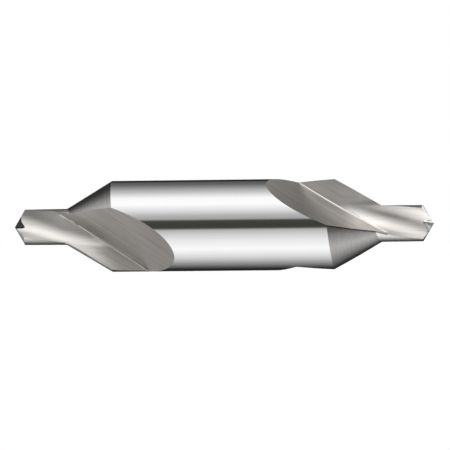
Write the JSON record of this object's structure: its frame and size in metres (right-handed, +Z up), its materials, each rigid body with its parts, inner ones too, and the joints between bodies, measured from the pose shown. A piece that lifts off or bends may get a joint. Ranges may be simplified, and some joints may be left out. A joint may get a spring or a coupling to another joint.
{
  "type": "centre drill",
  "caption": "Double-ended centre drill: round body, countersink cones, short drill pilots and ground flutes that run out in the body.",
  "frame": {"origin": "middle of the tool, on its own axis", "axes": "+X along the tool's axis towards its right-hand point, +Z up, +Y away from the side in the picture"},
  "size_m": [0.074, 0.016, 0.016],
  "materials": {
    "ground_steel": "bright high-speed steel, ground all over"
  },
  "bodies": {
    "root": {"centre_drill": "ground_steel"}
  },
  "joints": []
}
